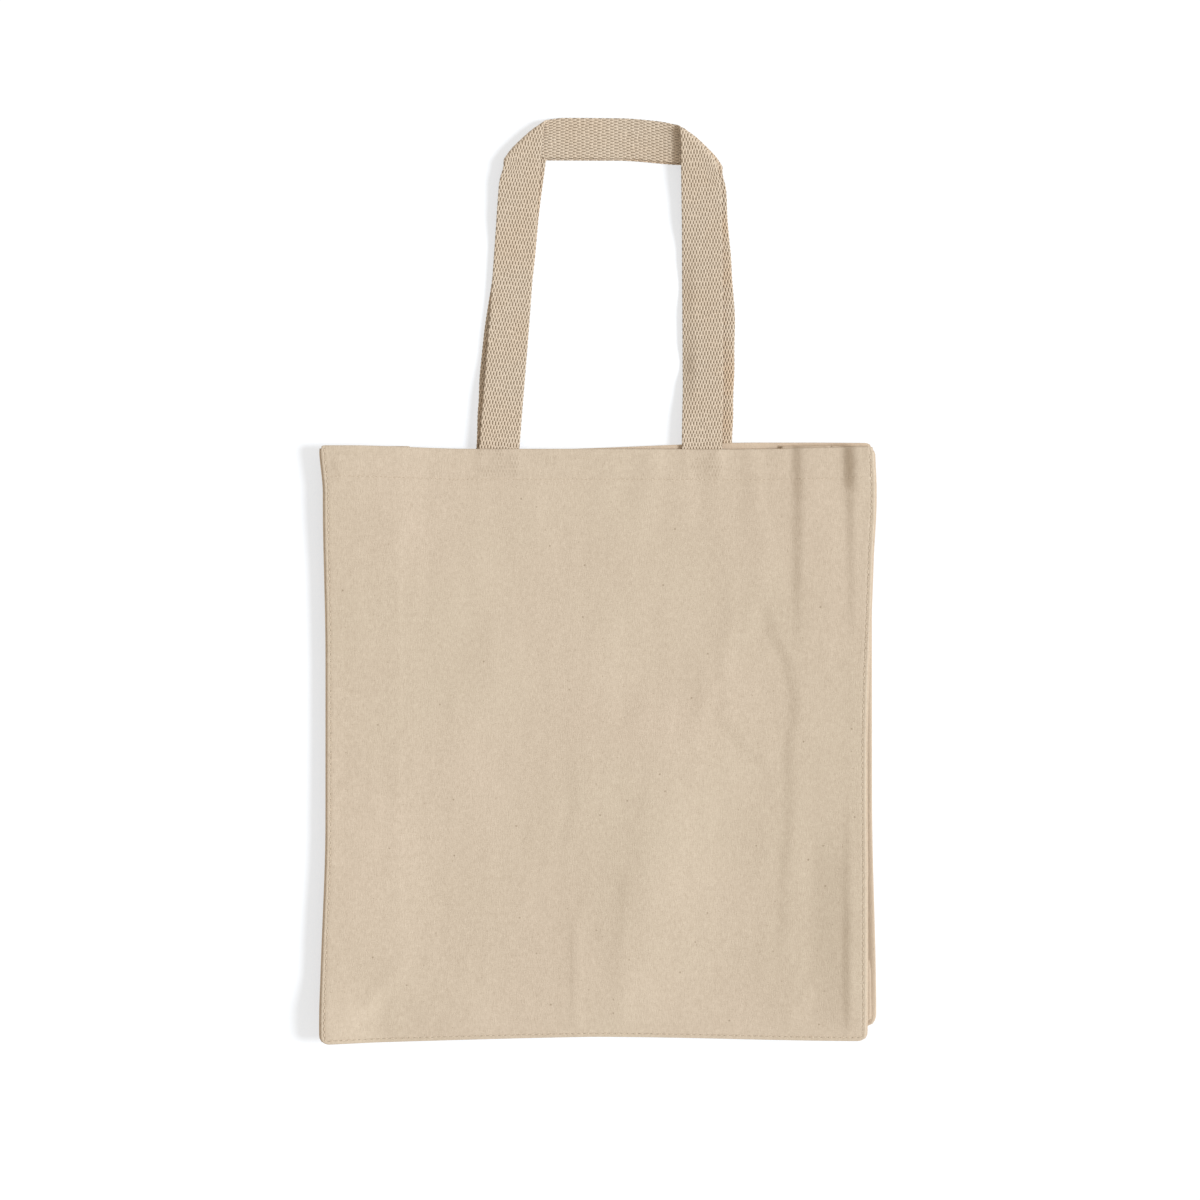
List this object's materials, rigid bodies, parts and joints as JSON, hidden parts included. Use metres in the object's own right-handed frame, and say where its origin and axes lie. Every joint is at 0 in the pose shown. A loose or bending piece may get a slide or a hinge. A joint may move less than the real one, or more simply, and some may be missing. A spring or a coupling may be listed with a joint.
{
  "type": "canvas tote bag",
  "caption": "Natural canvas tote bag lying folded flat, with a creased side and bottom gusset that opens into a box and webbing handles that swing over either panel.",
  "frame": {"origin": "centre of the back panel's underside, where the folded bag rests", "axes": "+X the bag's right, +Y up the bag towards its handles, +Z from the back panel to the front panel"},
  "size_m": [0.356, 0.609, 0.0115],
  "materials": {
    "canvas": "natural plain weave cotton canvas, matt",
    "gusset_canvas": "natural plain weave cotton canvas, matt",
    "seam_canvas": "turned and pressed canvas edge",
    "webbing": "natural woven cotton webbing with raised ribs",
    "thread": "natural cotton sewing thread"
  },
  "bodies": {
    "back": {"back_panel": "canvas", "back_left_seam": "seam_canvas", "back_right_seam": "seam_canvas", "back_bottom_seam": "seam_canvas", "back_handle_ends": "webbing", "back_edge_stitching": "thread", "back_hem_stitching": "thread"},
    "left_gusset_back": {"left_gusset_back": "gusset_canvas"},
    "left_gusset_front": {"left_gusset_front": "gusset_canvas"},
    "front": {"front_panel": "canvas", "front_left_seam": "seam_canvas", "front_right_seam": "seam_canvas", "front_bottom_seam": "seam_canvas", "front_handle_ends": "webbing", "front_edge_stitching": "thread", "front_hem_stitching": "thread"},
    "right_gusset_back": {"right_gusset_back": "gusset_canvas"},
    "right_gusset_front": {"right_gusset_front": "gusset_canvas"},
    "bottom_gusset_back": {"bottom_gusset_back": "gusset_canvas", "back_left_pleat": "gusset_canvas", "back_right_pleat": "gusset_canvas"},
    "bottom_gusset_front": {"bottom_gusset_front": "gusset_canvas", "front_left_pleat": "gusset_canvas", "front_right_pleat": "gusset_canvas"},
    "front_handle": {"front_handle": "webbing"},
    "back_handle": {"back_handle": "webbing"}
  },
  "joints": [
    {"name": "bag_open", "type": "hinge", "parent": "back", "child": "left_gusset_back", "pos_m": [-0.175, 0, 0.0008], "axis": [0, -1, 0], "range_deg": [0, 90]},
    {"name": "left_crease", "type": "hinge", "parent": "left_gusset_back", "child": "left_gusset_front", "pos_m": [-0.124, 0, 0.0056], "axis": [0, -1, 0], "range_deg": [-180, 0]},
    {"name": "left_front_seam", "type": "hinge", "parent": "left_gusset_front", "child": "front", "pos_m": [-0.175, 0, 0.0104], "axis": [0, -1, 0], "range_deg": [0, 90]},
    {"name": "right_back_seam", "type": "hinge", "parent": "back", "child": "right_gusset_back", "pos_m": [0.175, 0, 0.0008], "axis": [0, 1, 0], "range_deg": [0, 90]},
    {"name": "right_crease", "type": "hinge", "parent": "right_gusset_back", "child": "right_gusset_front", "pos_m": [0.124, 0, 0.0056], "axis": [0, 1, 0], "range_deg": [-180, 0]},
    {"name": "bottom_back_seam", "type": "hinge", "parent": "back", "child": "bottom_gusset_back", "pos_m": [0, -0.194, 0.0008], "axis": [1, 0, 0], "range_deg": [0, 90], "deforming": ["back_left_pleat", "back_right_pleat"]},
    {"name": "bottom_crease", "type": "hinge", "parent": "bottom_gusset_back", "child": "bottom_gusset_front", "pos_m": [0, -0.143, 0.0056], "axis": [1, 0, 0], "range_deg": [-180, 0], "deforming": ["front_left_pleat", "front_right_pleat"]},
    {"name": "front_handle_swing", "type": "hinge", "parent": "front", "child": "front_handle", "pos_m": [0, 0.198, 0.0122], "axis": [1, 0, 0], "range_deg": [0, 170]},
    {"name": "back_handle_swing", "type": "hinge", "parent": "back", "child": "back_handle", "pos_m": [0, 0.198, -0.001], "axis": [1, 0, 0], "range_deg": [-170, 0]}
  ],
  "couplings": [
    {"joint": "left_crease", "follows": "bag_open", "ratio": -2},
    {"joint": "left_front_seam", "follows": "bag_open", "ratio": 1},
    {"joint": "right_back_seam", "follows": "bag_open", "ratio": 1},
    {"joint": "right_crease", "follows": "bag_open", "ratio": -2},
    {"joint": "bottom_back_seam", "follows": "bag_open", "ratio": 1},
    {"joint": "bottom_crease", "follows": "bag_open", "ratio": -2}
  ]
}
